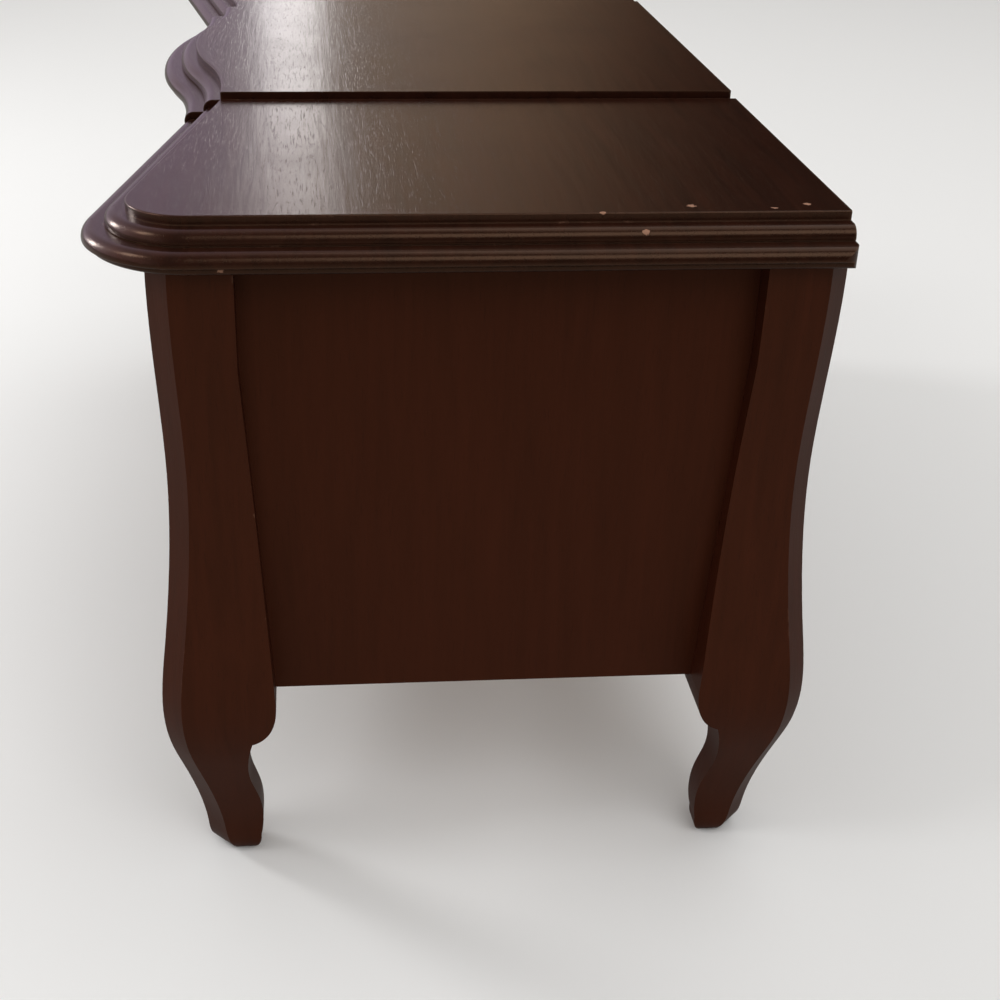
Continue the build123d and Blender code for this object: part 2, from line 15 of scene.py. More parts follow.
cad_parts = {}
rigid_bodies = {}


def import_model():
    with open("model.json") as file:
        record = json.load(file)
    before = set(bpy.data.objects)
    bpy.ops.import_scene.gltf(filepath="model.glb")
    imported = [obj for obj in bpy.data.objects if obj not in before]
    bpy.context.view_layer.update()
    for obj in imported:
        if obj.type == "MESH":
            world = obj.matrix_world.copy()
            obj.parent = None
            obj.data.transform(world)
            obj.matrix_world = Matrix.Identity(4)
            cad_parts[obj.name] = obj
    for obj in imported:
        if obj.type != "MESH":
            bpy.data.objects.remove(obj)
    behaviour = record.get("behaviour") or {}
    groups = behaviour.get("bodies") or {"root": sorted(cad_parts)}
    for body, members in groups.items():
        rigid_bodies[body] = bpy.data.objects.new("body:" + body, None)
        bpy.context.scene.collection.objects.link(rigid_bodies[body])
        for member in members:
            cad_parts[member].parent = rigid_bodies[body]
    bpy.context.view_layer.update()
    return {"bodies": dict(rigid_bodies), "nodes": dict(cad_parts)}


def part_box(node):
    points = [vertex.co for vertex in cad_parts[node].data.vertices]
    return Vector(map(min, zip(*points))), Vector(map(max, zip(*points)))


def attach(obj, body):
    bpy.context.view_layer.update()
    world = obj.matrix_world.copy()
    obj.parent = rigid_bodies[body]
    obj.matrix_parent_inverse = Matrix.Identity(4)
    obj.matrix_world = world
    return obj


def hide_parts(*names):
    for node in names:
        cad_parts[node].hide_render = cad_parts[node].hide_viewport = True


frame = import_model()
nodes = frame["nodes"]

# %% [markdown]
# The camera stands off the right-hand end, a little towards the front, and looks down on the top. A
# camera can be placed by hand, or aimed with a constraint. Here it is built from its heading, pitch
# and roll, because those are three plain numbers, and no stand is ever quite level.

# %% Camera
top_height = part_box("right_end_top")[1].z
back_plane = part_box("back_panel")[1].y
camera_from_middle = 0.5489
camera_before_back = 0.1309
camera_above_top = 0.1125
camera_heading = math.radians(-4.92)
camera_pitch = math.radians(28.2)
camera_roll = math.radians(-1.04)
camera_focal_pixels = 1540
camera_centre_pixel = (434, 507)
image_pixels = 1000
sensor_width = 36

camera_place = Vector((camera_from_middle, back_plane - camera_before_back, top_height + camera_above_top))
level_ahead = Vector((-math.cos(camera_heading), -math.sin(camera_heading), 0))
level_right = Vector((-math.sin(camera_heading), math.cos(camera_heading), 0))
straight_up = Vector((0, 0, 1))
ahead = level_ahead * math.cos(camera_pitch) - straight_up * math.sin(camera_pitch)
down = -(straight_up * math.cos(camera_pitch) + level_ahead * math.sin(camera_pitch))
right = level_right * math.cos(camera_roll) + down * math.sin(camera_roll)
down = down * math.cos(camera_roll) - level_right * math.sin(camera_roll)
camera_turn = Matrix((right, -down, -ahead)).transposed().to_4x4()

camera = bpy.data.objects.new("camera", bpy.data.cameras.new("camera"))
bpy.context.scene.collection.objects.link(camera)
camera.matrix_world = Matrix.Translation(camera_place) @ camera_turn
camera.data.sensor_width = sensor_width
camera.data.lens = camera.data.sensor_width * camera_focal_pixels / image_pixels
camera.data.shift_x = 0.5 - camera_centre_pixel[0] / image_pixels
camera.data.shift_y = camera_centre_pixel[1] / image_pixels - 0.5
camera.data.dof.use_dof = False
bpy.context.scene.camera = camera
bpy.context.scene.view_settings.view_transform = "Standard"
print("lens:", round(camera.data.lens, 1), "mm")

# %% [markdown]
# Small helpers for node materials come first. A material is a graph: each helper adds one node,
# feeds its inputs, and returns the socket that the next node reads. Named inputs keep it readable.

# %% Helpers for node materials


def start_material(name):
    """A material with nothing but its shader, and that shader."""
    material = bpy.data.materials.new(name)
    material.use_nodes = True
    return material, material.node_tree.nodes["Principled BSDF"]


def feed(tree, socket, value):
    """Gives an input a link from another socket, or a plain value."""
    if isinstance(value, bpy.types.NodeSocket):
        tree.links.new(value, socket)
    else:
        socket.default_value = value


def add_node(tree, kind, output, inputs, **settings):
    """Adds a node, sets it up, feeds its inputs and returns one of its outputs."""
    node = tree.nodes.new(kind)
    for name, value in settings.items():
        setattr(node, name, value)
    for name, value in inputs.items():
        feed(tree, node.inputs[name], value)
    return node.outputs[output]


def place_on_object(tree, scale=(1, 1, 1), location=(0, 0, 0)):
    """Object coordinates, stretched by a Mapping node."""
    place = add_node(tree, "ShaderNodeTexCoord", "Object", {})
    return add_node(tree, "ShaderNodeMapping", "Vector",
                    {"Vector": place, "Scale": scale, "Location": location})


def noise(tree, vector, scale, detail=4.0, roughness=0.55, distortion=0.0):
    """Cloudy noise between 0 and 1."""
    return add_node(tree, "ShaderNodeTexNoise", "Fac",
                    {"Vector": vector, "Scale": scale, "Detail": detail,
                     "Roughness": roughness, "Distortion": distortion})


def remap(tree, value, low, high, to_low=0.0, to_high=1.0):
    """Maps the range from low to high onto another range, and clamps it."""
    return add_node(tree, "ShaderNodeMapRange", "Result",
                    {"Value": value, "From Min": low, "From Max": high,
                     "To Min": to_low, "To Max": to_high})


def mix_colour(tree, factor, first, second):
    """One colour where the factor is 0, the other where it is 1."""
    node = tree.nodes.new("ShaderNodeMix")
    node.data_type = "RGBA"
    feed(tree, node.inputs[0], factor)
    feed(tree, node.inputs[6], first)
    feed(tree, node.inputs[7], second)
    return node.outputs[2]


def combine(tree, operation, first, second):
    """Arithmetic on two values."""
    node = tree.nodes.new("ShaderNodeMath")
    node.operation = operation
    feed(tree, node.inputs[0], first)
    feed(tree, node.inputs[1], second)
    return node.outputs[0]


def weighted_sum(tree, first, first_share, second, second_share):
    """Two values, each times its share, added up."""
    return combine(tree, "ADD", combine(tree, "MULTIPLY", first, first_share),
                   combine(tree, "MULTIPLY", second, second_share))


def screen_colour(red, green, blue):
    """A colour given as it looks on a screen, from 0 to 255, as the shader wants it."""
    def to_linear(value):
        value /= 255
        return value / 12.92 if value <= 0.04045 else ((value + 0.055) / 1.055) ** 2.4
    return (to_linear(red), to_linear(green), to_linear(blue), 1.0)


# %% [markdown]
# The studio is a pale floor, a white backdrop and soft lamps. The backdrop could be a curved sheet,
# but a world that is white only for the camera gives the same clean edge with no extra light on the
# wood. What the lacquer mirrors is a room: paler on the front windows' side, deep on the other, so
# the gloss has something to show.

# %% World
room_light = 0.62
room_span = (-0.25, 0.35)  # the tints run from this far towards the front to this far towards the back
left_to_right = (-0.3, 0.3)
right_end_share = 0.22  # how bright the room is beyond the right-hand end, if the left-hand one is 1
windows_edge = -0.45  # a glint that points this far to the front starts to show the front windows
windows_middle = -0.80  # and one that points this far shows them whole
windows_gain = 1.1

world = bpy.data.worlds.new("studio")
world.use_nodes = True
bpy.context.scene.world = world
sky = world.node_tree
paths = sky.nodes.new("ShaderNodeLightPath")
direction = add_node(sky, "ShaderNodeTexCoord", "Generated", {})
sideways = add_node(sky, "ShaderNodeSeparateXYZ", "Y", {"Vector": direction})
endways = add_node(sky, "ShaderNodeSeparateXYZ", "X", {"Vector": direction})
room = sky.nodes.new("ShaderNodeValToRGB")
feed(sky, room.inputs["Fac"], remap(sky, sideways, *room_span))
# Each tint begins at this share of the room's span, counted from the front.
room_tints = [
    (0.00, (0.66, 0.55, 0.68)),
    (0.27, (0.50, 0.40, 0.54)),
    (0.37, (0.47, 0.40, 0.46)),
    (0.45, (0.44, 0.36, 0.29)),
    (0.62, (0.32, 0.22, 0.145)),
    (0.76, (0.09, 0.055, 0.035)),
    (0.86, (0.012, 0.008, 0.006)),
]
room.color_ramp.elements.remove(room.color_ramp.elements[1])
room.color_ramp.elements[0].color = room_tints[0][1] + (1,)
for place, tint in room_tints[1:]:
    room.color_ramp.elements.new(place).color = tint + (1,)
backdrop = add_node(sky, "ShaderNodeBackground", 0, {"Color": (1, 1, 1, 1), "Strength": 1.0})
front_windows = remap(sky, sideways, windows_edge, windows_middle, 0.0, windows_gain)
end_strength = remap(sky, endways, *left_to_right, 1.0, right_end_share)
room_strength = combine(sky, "ADD", end_strength, front_windows)
mirrored = add_node(sky, "ShaderNodeBackground", 0,
                    {"Color": room.outputs["Color"], "Strength": room_strength})
ambient = add_node(sky, "ShaderNodeBackground", 0, {"Color": (1, 0.98, 0.95, 1), "Strength": room_light})
shown = combine(sky, "MAXIMUM", paths.outputs["Is Camera Ray"], paths.outputs["Is Transmission Ray"])
lit = sky.nodes.new("ShaderNodeMixShader")
feed(sky, lit.inputs[0], paths.outputs["Is Glossy Ray"])
feed(sky, lit.inputs[1], ambient)
feed(sky, lit.inputs[2], mirrored)
whole = sky.nodes.new("ShaderNodeMixShader")
feed(sky, whole.inputs[0], shown)
feed(sky, whole.inputs[1], lit.outputs[0])
feed(sky, whole.inputs[2], backdrop)
sky.links.new(whole.outputs[0], sky.nodes["World Output"].inputs["Surface"])
print("world: room light", room_light)

# %% [markdown]
# The floor is one wide matt sheet. It is pale to the eye but throws back less than that, because a
# truly white floor would light the underside of the moulding and wash out the dark wood.

# %% Floor
floor_reach = 40.0
floor_seen = (0.86, 0.86, 0.86, 1)
floor_bounced = (0.38, 0.37, 0.36, 1)
bpy.ops.object.select_all(action="DESELECT")
bpy.ops.mesh.primitive_plane_add(size=2 * floor_reach, location=(0, 0, 0))
floor = bpy.context.object
floor.name = "floor"
floor_material, floor_shader = start_material("pale_floor")
floor_tree = floor_material.node_tree
seen_directly = add_node(floor_tree, "ShaderNodeLightPath", "Is Camera Ray", {})
feed(floor_tree, floor_shader.inputs["Base Color"],
     mix_colour(floor_tree, seen_directly, floor_bounced, floor_seen))
floor_shader.inputs["Roughness"].default_value = 0.9
floor_shader.inputs["Specular IOR Level"].default_value = 0.1
floor.data.materials.append(floor_material)
print("floor:", 2 * floor_reach, "m across")

# %% [markdown]
# The lamps are all soft: boxes and window panes. A single strong lamp would burn one hard spot
# into the lacquer, so several weak ones share the work: two window panes draw the bright bands on
# the top and the moulding, and three larger boxes fill in from the front, the end and above.

# %% Lamps


def soft_lamp(name, place, aim, width, height, watts):
    """A soft box: a rectangular area lamp that faces a point."""
    lamp = bpy.data.objects.new(name, bpy.data.lights.new(name, "AREA"))
    bpy.context.scene.collection.objects.link(lamp)
    lamp.data.shape = "RECTANGLE"
    lamp.data.size = width
    lamp.data.size_y = height
    lamp.data.energy = watts
    lamp.location = place
    lamp.rotation_euler = (Vector(aim) - Vector(place)).to_track_quat("-Z", "Y").to_euler()
    lamp.visible_camera = False
    return lamp


middle = Vector((0, 0, 0.1))
window = soft_lamp("window_lamp", place=(-1.40, -0.060, 0.62), aim=(0.1, -0.035, 0.195),
                   width=0.075, height=0.9, watts=0.50)
key = soft_lamp("key_lamp", place=(0.35, -1.1, 1.2), aim=middle, width=0.45, height=0.45, watts=3.5)
end_fill = soft_lamp("end_lamp", place=(1.4, 0.5, 1.5), aim=middle, width=1.2, height=1.0, watts=7.0)
overhead = soft_lamp("overhead_lamp", place=(-0.2, 0.6, 1.6), aim=middle, width=1.2, height=1.2, watts=4.5)
front_window = soft_lamp("front_window_lamp", place=(-0.47, -1.07, 0.52), aim=(0.19, -0.09, 0.19),
                         width=0.24, height=0.34, watts=5.5)
print("lamps:", [lamp.name for lamp in (window, key, end_fill, overhead, front_window)])

# %% [markdown]
# The wood is mahogany, stained dark and lacquered to a gloss. It could be painted on in one colour,
# but lacquered wood shows three things at once: streaks and pores along the grain, a clear skin
# with its own slight ripple, and edges where the stain is rubbed through to tan wood. The grain is
# noise squeezed on two axes and left long on the third, so one recipe serves uprights and long
# boards. The rubbed edges come from a Bevel node: where its softened normal leaves the true one,
# there is an edge.

# %% Lacquered mahogany
board_stain = (screen_colour(50, 20, 9), screen_colour(66, 28, 15))
top_stain = (screen_colour(30, 13, 8), screen_colour(44, 20, 12))
rubbed_wood = screen_colour(150, 112, 92)
# pale colour painted along the tightest edges: part wear, part a painted highlight on the moulding's crest
rim_wear_and_painted_highlight = screen_colour(128, 100, 80)
pore_stain = screen_colour(24, 10, 7)
pore_darkness = 0.4
lacquer_tint = screen_colour(255, 205, 168)
rubbed_roughness = 0.62
rub_depth = 0.8
edge_reach = 0.0011
edge_slack = 0.02
nick_raggedness = 0.0022
grain_squeeze = 14.0
axis_scales = {
    "X": (1, grain_squeeze, grain_squeeze),
    "Y": (grain_squeeze, 1, grain_squeeze),
    "Z": (grain_squeeze, grain_squeeze, 1),
}


def edge_mask(tree):
    """1 on the sharp edges of a piece, fading to 0 about an edge's reach away."""
    soft = add_node(tree, "ShaderNodeBevel", "Normal", {"Radius": edge_reach}, samples=6)
    sharp = add_node(tree, "ShaderNodeNewGeometry", "Normal", {})
    turned = add_node(tree, "ShaderNodeVectorMath", "Value",
                      {0: soft, 1: sharp}, operation="DOT_PRODUCT")
    return remap(tree, turned, 1.0 - edge_slack, 0.80)


def nick_mask(tree, nicks):
    """1 inside each small nick, given as a place and a radius."""
    place = add_node(tree, "ShaderNodeTexCoord", "Object", {})
    ragged = add_node(tree, "ShaderNodeTexNoise", "Color", {"Vector": place, "Scale": 900.0, "Detail": 2.0})
    shifted = add_node(tree, "ShaderNodeVectorMath", "Vector",
                       {0: ragged, 1: (nick_raggedness,) * 3, 2: place}, operation="MULTIPLY_ADD")
    centred = add_node(tree, "ShaderNodeVectorMath", "Vector",
                       {0: shifted, 1: (nick_raggedness / 2,) * 3}, operation="SUBTRACT")
    mask = None
    for spot, radius in nicks:
        away = add_node(tree, "ShaderNodeVectorMath", "Value", {0: centred, 1: spot}, operation="DISTANCE")
        inside = remap(tree, away, radius, radius * 0.7)
        mask = inside if mask is None else combine(tree, "MAXIMUM", mask, inside)
    return mask


def wood_figure(tree, grain_axis, figured):
    """How pale the stained wood is, from 0 to 1, and how deep in a pore, from 0 to 1."""
    squeeze = axis_scales[grain_axis]
    along = place_on_object(tree, scale=squeeze)
    streaks = noise(tree, along, 22.0, detail=7.0, roughness=0.62, distortion=0.35)
    figure = noise(tree, along, 5.0, detail=3.0, distortion=0.8)
    figure_low = 0.5 - 0.5 * figured
    shade = remap(tree, weighted_sum(tree, streaks, 0.65, figure, 0.35), 0.36, 0.66,
                  figure_low, 1.0 - figure_low)
    pores = noise(tree, place_on_object(tree, scale=[3 * part for part in squeeze]), 60.0, detail=2.0)
    return shade, remap(tree, pores, 0.60, 0.72)


def lacquer_relief(tree, grain_axis, pore_lines, rub):
    """The lacquer's surface: it ripples, sinks into the pores and is missing where it is rubbed off."""
    ripple = noise(tree, place_on_object(tree, scale=axis_scales[grain_axis]), 30.0, detail=2.0)
    skin = weighted_sum(tree, pore_lines, -0.18, ripple, 0.45)
    height = combine(tree, "ADD", skin, combine(tree, "MULTIPLY", rub, -rub_depth))
    return add_node(tree, "ShaderNodeBump", "Normal",
                    {"Height": height, "Strength": 0.35, "Distance": 0.00022})


def lacquered_mahogany(name, grain_axis, roughness, shine, wear=0.5, figured=1.0,
                       stain=board_stain, rim=0.0, nicks=()):
    """Stained mahogany under lacquer. Its smoothest parts have this roughness, and its figure is
    as strong as figured says. The rim is how strongly its tightest edges are painted pale all along:
    part wear, part a painted highlight along the moulding's crest."""
    material, shader = start_material(name)
    tree = material.node_tree
    shade, pore_lines = wood_figure(tree, grain_axis, figured)
    stained = mix_colour(tree, shade, *stain)
    filled_pores = combine(tree, "MULTIPLY", pore_lines, pore_darkness * figured)
    stained = mix_colour(tree, filled_pores, stained, pore_stain)
    edges = edge_mask(tree)
    # the rim paints a pale line along the tightest edges, part wear and part painted highlight
    if rim:
        stained = mix_colour(tree, combine(tree, "MULTIPLY", edges, rim), stained, rim_wear_and_painted_highlight)
    patchy = noise(tree, place_on_object(tree), 85.0, detail=5.0, roughness=0.7)
    rub = combine(tree, "MULTIPLY", edges, remap(tree, patchy, 0.64 - 0.10 * wear, 0.76))
    if nicks:
        rub = combine(tree, "MAXIMUM", rub, nick_mask(tree, nicks))
    feed(tree, shader.inputs["Base Color"], mix_colour(tree, rub, stained, rubbed_wood))
    smears = noise(tree, place_on_object(tree), 18.0, detail=3.0)
    dull = remap(tree, smears, 0.25, 0.75, roughness, roughness + 0.10)
    rubbed_dull = combine(tree, "MULTIPLY", rub, rubbed_roughness)
    feed(tree, shader.inputs["Roughness"], combine(tree, "MAXIMUM", dull, rubbed_dull))
    bump = lacquer_relief(tree, grain_axis, pore_lines, rub)
    feed(tree, shader.inputs["Normal"], bump)
    shader.inputs["IOR"].default_value = 1.5
    shader.inputs["Specular IOR Level"].default_value = shine
    shader.inputs["Specular Tint"].default_value = lacquer_tint
    return material


# %% [markdown]
# A box that has been used has a few chips at the corners that get knocked. They could be cut into
# the wood, but they are thinner than its lacquer, so each is only a ragged spot in the finish. A
# spot is measured from the piece that it is on, and moves with it if the box is made larger.

# %% Lacquered finishes, with their nicks
moulding_reach = 0.0112  # how far the top's moulding stands out beyond its flat
flat_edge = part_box("right_end_top")[1].x - moulding_reach
top_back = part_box("right_end_top")[1].y
leg_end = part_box("right_back_leg")[1].x
leg_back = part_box("right_back_leg")[1].y
leg_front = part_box("right_front_leg")[0].y


def top_nick(inward, forward, drop, radius):
    """A nick this far in from the flat's outer edge (negative on the moulding), this far in front
    of the back and this far below the flat."""
    return Vector((flat_edge - inward, top_back - forward, top_height - drop)), radius


def back_leg_nick(inward, forward, height, radius):
    """A nick this far in from the end and in front of the back leg's back."""
    return Vector((leg_end - inward, leg_back - forward, height)), radius


def front_leg_nick(inward, backward, height, radius):
    """A nick this far in from the end and behind the front leg's front."""
    return Vector((leg_end - inward, leg_front + backward, height)), radius


top_nicks = [
    top_nick(inward=0.0005, forward=0.0616, drop=0.0002, radius=0.0006),
    top_nick(inward=0.0048, forward=0.0389, drop=0.0, radius=0.0011),
    top_nick(inward=0.0028, forward=0.0189, drop=0.0, radius=0.0006),
    top_nick(inward=0.0058, forward=0.0097, drop=0.0, radius=0.0010),
    top_nick(inward=-0.0047, forward=0.0519, drop=0.0030, radius=0.0009),
    top_nick(inward=-0.0100, forward=0.1534, drop=0.0100, radius=0.0008),
]
leg_nicks = [
    back_leg_nick(inward=0.0016, forward=0.0129, height=0.145, radius=0.0007),
    back_leg_nick(inward=0.0002, forward=0.0104, height=0.107, radius=0.0008),
    back_leg_nick(inward=0.0042, forward=0.0064, height=0.044, radius=0.0010),
    front_leg_nick(inward=0.0115, backward=0.0127, height=0.0218, radius=0.0008),
]
# top and lid take a rim: a pale line painted on their tightest edges, part wear, part painted highlight
top_wood = lacquered_mahogany("lacquered_top", "X", roughness=0.17, shine=0.46, wear=0.5,
                              stain=top_stain, rim=0.25, nicks=top_nicks)
lid_wood = lacquered_mahogany("lacquered_lid", "X", roughness=0.15, shine=0.40, wear=0.5,
                              stain=top_stain, rim=0.2)
panel_wood = lacquered_mahogany("lacquered_upright", "Z", roughness=0.40, shine=0.22, wear=0.0,
                                figured=0.45)
leg_wood = lacquered_mahogany("lacquered_leg", "Z", roughness=0.34, shine=0.25, wear=0.45,
                              figured=0.6, nicks=leg_nicks)
front_wood = lacquered_mahogany("lacquered_front", "X", roughness=0.22, shine=0.4, wear=0.4)
back_wood = lacquered_mahogany("lacquered_back", "X", roughness=0.46, shine=0.2, wear=0.1)
lacquered = (top_wood, lid_wood, panel_wood, leg_wood, front_wood, back_wood)
print("lacquered finishes:", [wood.name for wood in lacquered])

# %% [markdown]
# The drawers' sides and the casing's floor are plain pale wood with a thin seal. They are made the
# same way as the lacquered wood but without its gloss, so they look dry beside it.

# %% Plain drawer wood
dark_ring = screen_colour(150, 106, 68)
pale_ring = screen_colour(205, 164, 118)


def plain_wood(name, grain_axis):
    """Pale wood, sealed but not polished."""
    material, shader = start_material(name)
    tree = material.node_tree
    along = place_on_object(tree, scale=axis_scales[grain_axis])
    rings = noise(tree, along, 9.0, detail=6.0, roughness=0.6, distortion=0.9)
    fibres = noise(tree, along, 70.0, detail=3.0)
    both = weighted_sum(tree, rings, 0.7, fibres, 0.3)
    feed(tree, shader.inputs["Base Color"],
         mix_colour(tree, remap(tree, both, 0.36, 0.66), dark_ring, pale_ring))
    feed(tree, shader.inputs["Roughness"], remap(tree, fibres, 0.3, 0.7, 0.52, 0.68))
    bump = add_node(tree, "ShaderNodeBump", "Normal", {"Height": both, "Strength": 0.3, "Distance": 0.0002})
    feed(tree, shader.inputs["Normal"], bump)
    return material


drawer_wood = plain_wood("plain_drawer_wood", "Y")
floor_wood = plain_wood("plain_floor_wood", "X")
print("plain finishes:", [wood.name for wood in (drawer_wood, floor_wood)])

# %% [markdown]
# Knobs and hinges are polished brass that has aged: the metal stays bright where fingers rub it and
# goes brown in patches. Noise drives both the colour and the roughness, so a brown patch is dull.

# %% Aged brass
bright_brass = screen_colour(214, 172, 98)
brown_brass = screen_colour(128, 88, 48)


def aged_brass(name, shine):
    """Brass with brown patches and fine scratches."""
    material, shader = start_material(name)
    tree = material.node_tree
    patches = noise(tree, place_on_object(tree), 190.0, detail=5.0, roughness=0.65)
    tarnish = remap(tree, patches, 0.48, 0.72)
    feed(tree, shader.inputs["Base Color"],
         mix_colour(tree, tarnish, bright_brass, brown_brass))
    feed(tree, shader.inputs["Roughness"], remap(tree, patches, 0.3, 0.75, shine, shine + 0.28))
    shader.inputs["Metallic"].default_value = 1.0
    scratches = noise(tree, place_on_object(tree, scale=(1, 30, 30)), 160.0, detail=2.0)
    bump = add_node(tree, "ShaderNodeBump", "Normal",
                    {"Height": scratches, "Strength": 0.15, "Distance": 0.0001})
    feed(tree, shader.inputs["Normal"], bump)
    return material


knob_brass = aged_brass("knob_brass", 0.16)
hinge_brass = aged_brass("hinge_brass", 0.28)
print("brass finishes:", [brass.name for brass in (knob_brass, hinge_brass)])

# %% [markdown]
# The mirror is silver behind glass. Modelling both layers costs light paths for nothing that shows,
# so it is one metal surface with a clear coat, a faint haze of fingerprints and the slight grey of
# old silvering near its rim.

# %% Mirror glass
fresh_silver = (0.88, 0.90, 0.90, 1)
aged_silver = (0.32, 0.31, 0.29, 1)
mirror_low, mirror_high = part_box("mirror")
mirror_middle = (mirror_low + mirror_high) / 2
mirror_half = (mirror_high - mirror_low) / 2
silvered, shader = start_material("silvered_glass")
tree = silvered.node_tree
spots = noise(tree, place_on_object(tree), 120.0, detail=6.0, roughness=0.7)
haze = noise(tree, place_on_object(tree, scale=(1, 1.6, 1)), 26.0, detail=5.0)
middle_shift = (-mirror_middle.x / mirror_half.x, -mirror_middle.y / mirror_half.y, 0)
from_middle = place_on_object(tree, scale=(1 / mirror_half.x, 1 / mirror_half.y, 0), location=middle_shift)
apart = add_node(tree, "ShaderNodeVectorMath", "Vector", {0: from_middle}, operation="ABSOLUTE")
sides = add_node(tree, "ShaderNodeSeparateXYZ", "X", {"Vector": apart})
ends = add_node(tree, "ShaderNodeSeparateXYZ", "Y", {"Vector": apart})
rim = remap(tree, combine(tree, "MAXIMUM", sides, ends), 0.90, 1.0)
aged_rim = combine(tree, "MULTIPLY", rim, remap(tree, spots, 0.45, 0.70))
feed(tree, shader.inputs["Base Color"],
     mix_colour(tree, aged_rim, fresh_silver, aged_silver))
fingerprints = remap(tree, haze, 0.45, 0.80, 0.015, 0.07)
feed(tree, shader.inputs["Roughness"],
     combine(tree, "ADD", fingerprints, combine(tree, "MULTIPLY", aged_rim, 0.2)))
shader.inputs["Metallic"].default_value = 1.0
shader.inputs["Coat Weight"].default_value = 0.5
shader.inputs["Coat Roughness"].default_value = 0.02
print("mirror:", [round(2 * half, 3) for half in mirror_half])

# %% [markdown]
# Velvet is a pile of short upright fibres: it looks pale where it is seen edge-on and dark where it
# is seen from above, and it keeps brush marks. Sheen on the shader gives the first, and a soft
# stretched noise gives the second. Felt is the same idea with shorter, tangled fibres.

# %% Velvet and felt


def pile_fabric(name, deep, brushed, sheen, fibre):
    """Fabric with a pile: velvet, or felt when its fibres are coarse."""
    material, shader = start_material(name)
    tree = material.node_tree
    marks = noise(tree, place_on_object(tree, scale=(1, 2.2, 1.4)), 38.0, detail=5.0, distortion=1.2)
    pile = noise(tree, place_on_object(tree), fibre, detail=3.0, roughness=0.7)
    worn = weighted_sum(tree, marks, 0.55, pile, 0.45)
    feed(tree, shader.inputs["Base Color"], mix_colour(tree, remap(tree, worn, 0.28, 0.74), deep, brushed))
    feed(tree, shader.inputs["Roughness"], remap(tree, pile, 0.3, 0.7, 0.82, 0.98))
    shader.inputs["Specular IOR Level"].default_value = 0.15
    shader.inputs["Sheen Weight"].default_value = sheen
    shader.inputs["Sheen Roughness"].default_value = 0.35
    shader.inputs["Sheen Tint"].default_value = brushed
    bump = add_node(tree, "ShaderNodeBump", "Normal", {"Height": pile, "Strength": 0.5, "Distance": 0.0003})
    feed(tree, shader.inputs["Normal"], bump)
    return material


velvet = pile_fabric("burgundy_velvet", deep=screen_colour(72, 14, 24), brushed=screen_colour(112, 30, 42),
                     sheen=0.6, fibre=2600.0)
felt = pile_fabric("dark_felt", deep=screen_colour(38, 30, 27), brushed=screen_colour(66, 54, 48),
                   sheen=0.3, fibre=1500.0)
print("fabrics:", [fabric.name for fabric in (velvet, felt)])

# %% [markdown]
# Each CAD piece now takes its finish. The choice goes by the piece's name, in one list of pairs, so
# a reader can see at a glance which finish goes where. Grain runs the way the board was cut.

# %% Finishes on the CAD pieces
finish_by_name = [
    ("_end_top", top_wood),
    ("_leg", leg_wood),
    ("end_panel", panel_wood),
    ("partition", panel_wood),
    ("back_panel", back_wood),
    ("apron", front_wood),
    ("divider", front_wood),
    ("compartment_front", front_wood),
    ("drawer_front", front_wood),
    ("drawer_box", drawer_wood),
    ("bottom_board", floor_wood),
    ("drawer_knob", knob_brass),
    ("hinge", hinge_brass),
    ("mirror_frame", lid_wood),
    ("mirror", silvered),
    ("lid_bumpers", felt),
    ("lid", lid_wood),
    ("compartment_lining", velvet),
    ("inner_wall", velvet),
    ("ring_cushion", velvet),
]


def finish_for(node_name):
    """The first finish in the list whose words are in the piece's name."""
    for words, material in finish_by_name:
        if words in node_name:
            return material
    raise ValueError(f"no finish for {node_name}")


for node_name, piece in nodes.items():
    piece.data.materials.clear()
    piece.data.materials.append(finish_for(node_name))
print("CAD pieces finished:", len(nodes))

# %% [markdown]
# The soft pieces are modelled over the space that their CAD solids hold. Velvet over thin board has
# soft rounded rims, which a sawn solid hasn't. The quickest true start is the solid's own surface:
# its loose triangles are joined up, flat neighbours are dissolved into whole faces, and then every
# edge is rounded by a Bevel modifier.

# %% Helpers for modelling
corner_angle = math.radians(40)  # an edge that turns by more than this is a corner, not a curve
flat_angle = math.radians(0.5)
join_distance = 0.00001


def select_only(piece):
    """Makes a piece the only selected one, and the active one."""
    bpy.ops.object.select_all(action="DESELECT")
    piece.select_set(True)
    bpy.context.view_layer.objects.active = piece


def merged_copy(node_name, name):
    """A copy of a CAD piece whose triangles are joined into whole faces."""
    piece = bpy.data.objects.new(name, nodes[node_name].data.copy())
    bpy.context.scene.collection.objects.link(piece)
    piece.data.materials.clear()
    select_only(piece)
    bpy.ops.object.mode_set(mode="EDIT")
    bpy.ops.mesh.select_all(action="SELECT")
    bpy.ops.mesh.remove_doubles(threshold=join_distance)
    bpy.ops.mesh.dissolve_limited(angle_limit=flat_angle)
    bpy.ops.mesh.normals_make_consistent(inside=False)
    bpy.ops.object.mode_set(mode="OBJECT")
    return piece


def add_modifier(piece, kind, **settings):
    """Adds a modifier, sets it up and applies it."""
    select_only(piece)
    modifier = piece.modifiers.new(kind.lower(), kind)
    for name, value in settings.items():
        setattr(modifier, name, value)
    bpy.ops.object.modifier_apply(modifier=modifier.name)


def dress(piece, material, body, slot_name, *replaced):
    """Gives a new piece its finish, its body and the CAD pieces that it stands for."""
    piece.data.materials.clear()
    piece.data.materials.append(material)
    select_only(piece)
    bpy.ops.object.shade_smooth_by_angle(angle=corner_angle)
    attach(piece, body)
    if replaced:
        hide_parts(*replaced)
    print(piece.name, len(piece.data.polygons), "faces")


# %% [markdown]
# The compartment's tray and its inner wall are thin board wrapped in velvet. Cloth glued to board
# takes the board's shape, so nothing has to hang or swell, and rounded rims are all that is new.

